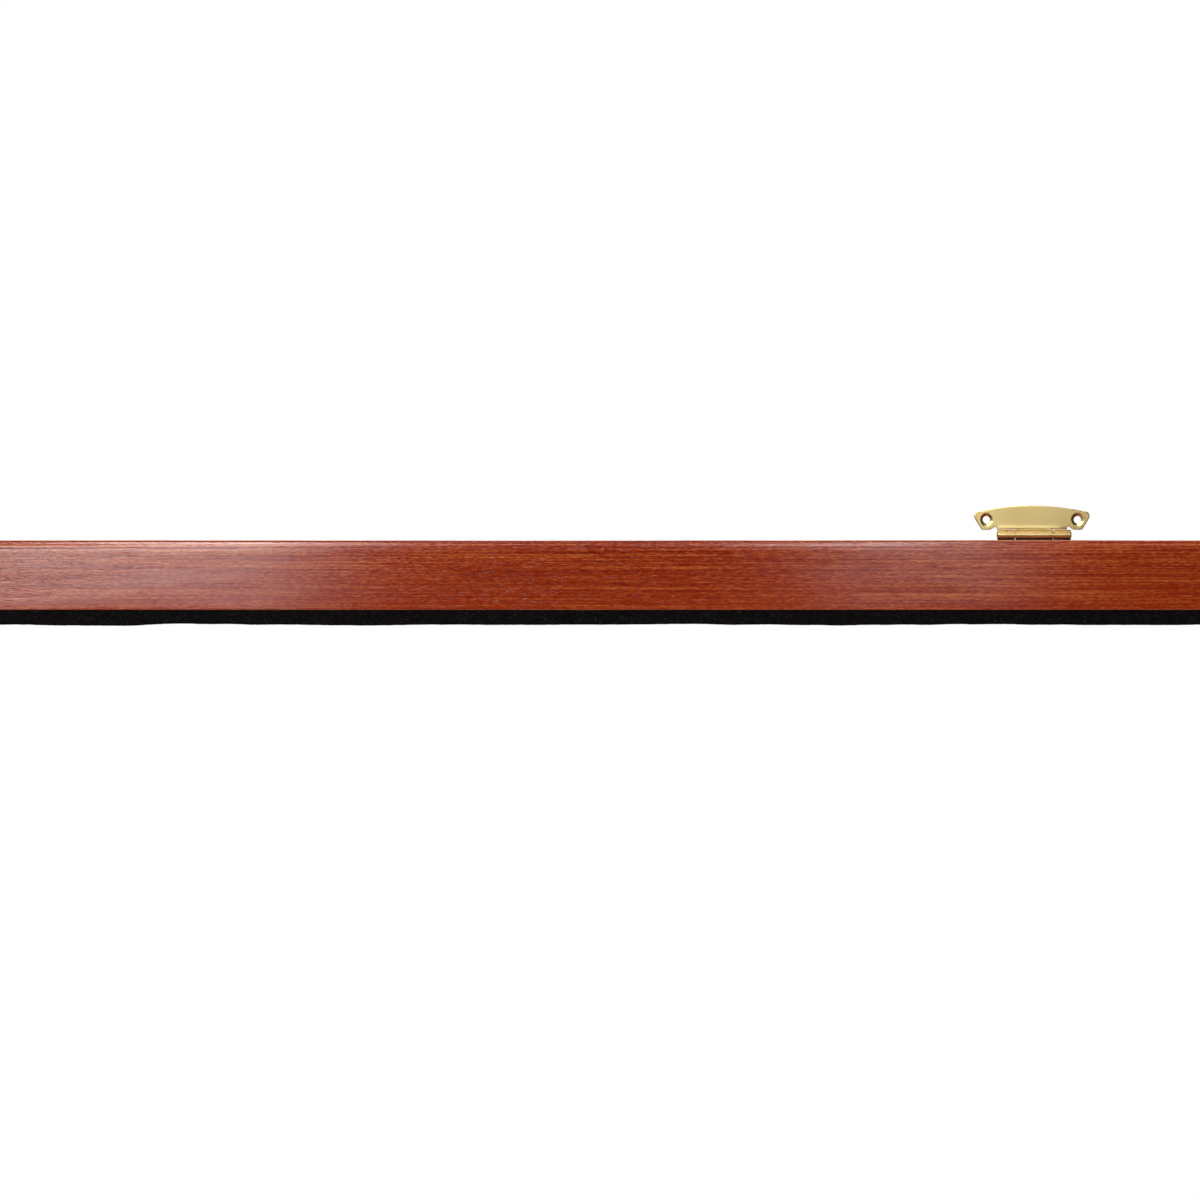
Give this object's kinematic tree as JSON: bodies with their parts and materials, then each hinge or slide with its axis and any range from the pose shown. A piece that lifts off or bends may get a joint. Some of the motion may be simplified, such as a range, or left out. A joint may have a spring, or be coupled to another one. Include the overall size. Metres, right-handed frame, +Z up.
{
  "type": "wall cue rack",
  "caption": "Swing-up wall rail that keeps standing cues in felt-lined notches; hangs on two brass hinges screwed to the wall.",
  "frame": {"origin": "on the wall plane, midway between the two hinges, on the line of the wall screw holes", "axes": "+X along the rail, to the right as seen from the front; +Y into the wall; +Z up"},
  "size_m": [1, 0.045, 0.0718],
  "materials": {
    "mahogany_laminate": "satin lacquered red-brown laminate with fine lengthwise grain",
    "fibreboard": "raw sawn fibreboard, matt",
    "black_felt": "dense black wool felt, matt, short nap",
    "brass": "satin brass-plated pressed sheet, edges a little darker",
    "pale_brass": "brass-plated drawn wire and screws, satin"
  },
  "bodies": {
    "wall_mount": {"hinge_left_wall_wing": "brass", "hinge_right_wall_wing": "brass"},
    "rail": {"front_board": "fibreboard", "rail_wrap": "mahogany_laminate", "end_cap_left": "mahogany_laminate", "end_cap_right": "mahogany_laminate", "felt_strip": "black_felt", "rail_block_1": "fibreboard", "rail_block_2": "fibreboard", "rail_block_3": "fibreboard", "rail_block_4": "fibreboard", "rail_block_5": "fibreboard", "rail_block_6": "fibreboard", "rail_block_7": "fibreboard", "rail_block_8": "fibreboard", "rail_block_9": "fibreboard", "rail_block_10": "fibreboard", "rail_block_11": "fibreboard", "felt_pad_1": "black_felt", "felt_pad_2": "black_felt", "felt_pad_3": "black_felt", "felt_pad_4": "black_felt", "felt_pad_5": "black_felt", "felt_pad_6": "black_felt", "felt_pad_7": "black_felt", "felt_pad_8": "black_felt", "felt_pad_9": "black_felt", "felt_pad_10": "black_felt", "felt_pad_11": "black_felt", "cue_liner_1": "black_felt", "cue_liner_2": "black_felt", "cue_liner_3": "black_felt", "cue_liner_4": "black_felt", "cue_liner_5": "black_felt", "cue_liner_6": "black_felt", "cue_liner_7": "black_felt", "cue_liner_8": "black_felt", "cue_liner_9": "black_felt", "cue_liner_10": "black_felt", "hinge_left_rail_wing": "brass", "hinge_left_pin": "pale_brass", "hinge_left_rail_screws": "pale_brass", "hinge_right_rail_wing": "brass", "hinge_right_pin": "pale_brass", "hinge_right_rail_screws": "pale_brass"}
  },
  "joints": [
    {"name": "rail_swing", "type": "hinge", "parent": "wall_mount", "child": "rail", "pos_m": [0, -0.00315, -0.0092], "axis": [-1, 0, 0], "range_deg": [0, 90]}
  ]
}
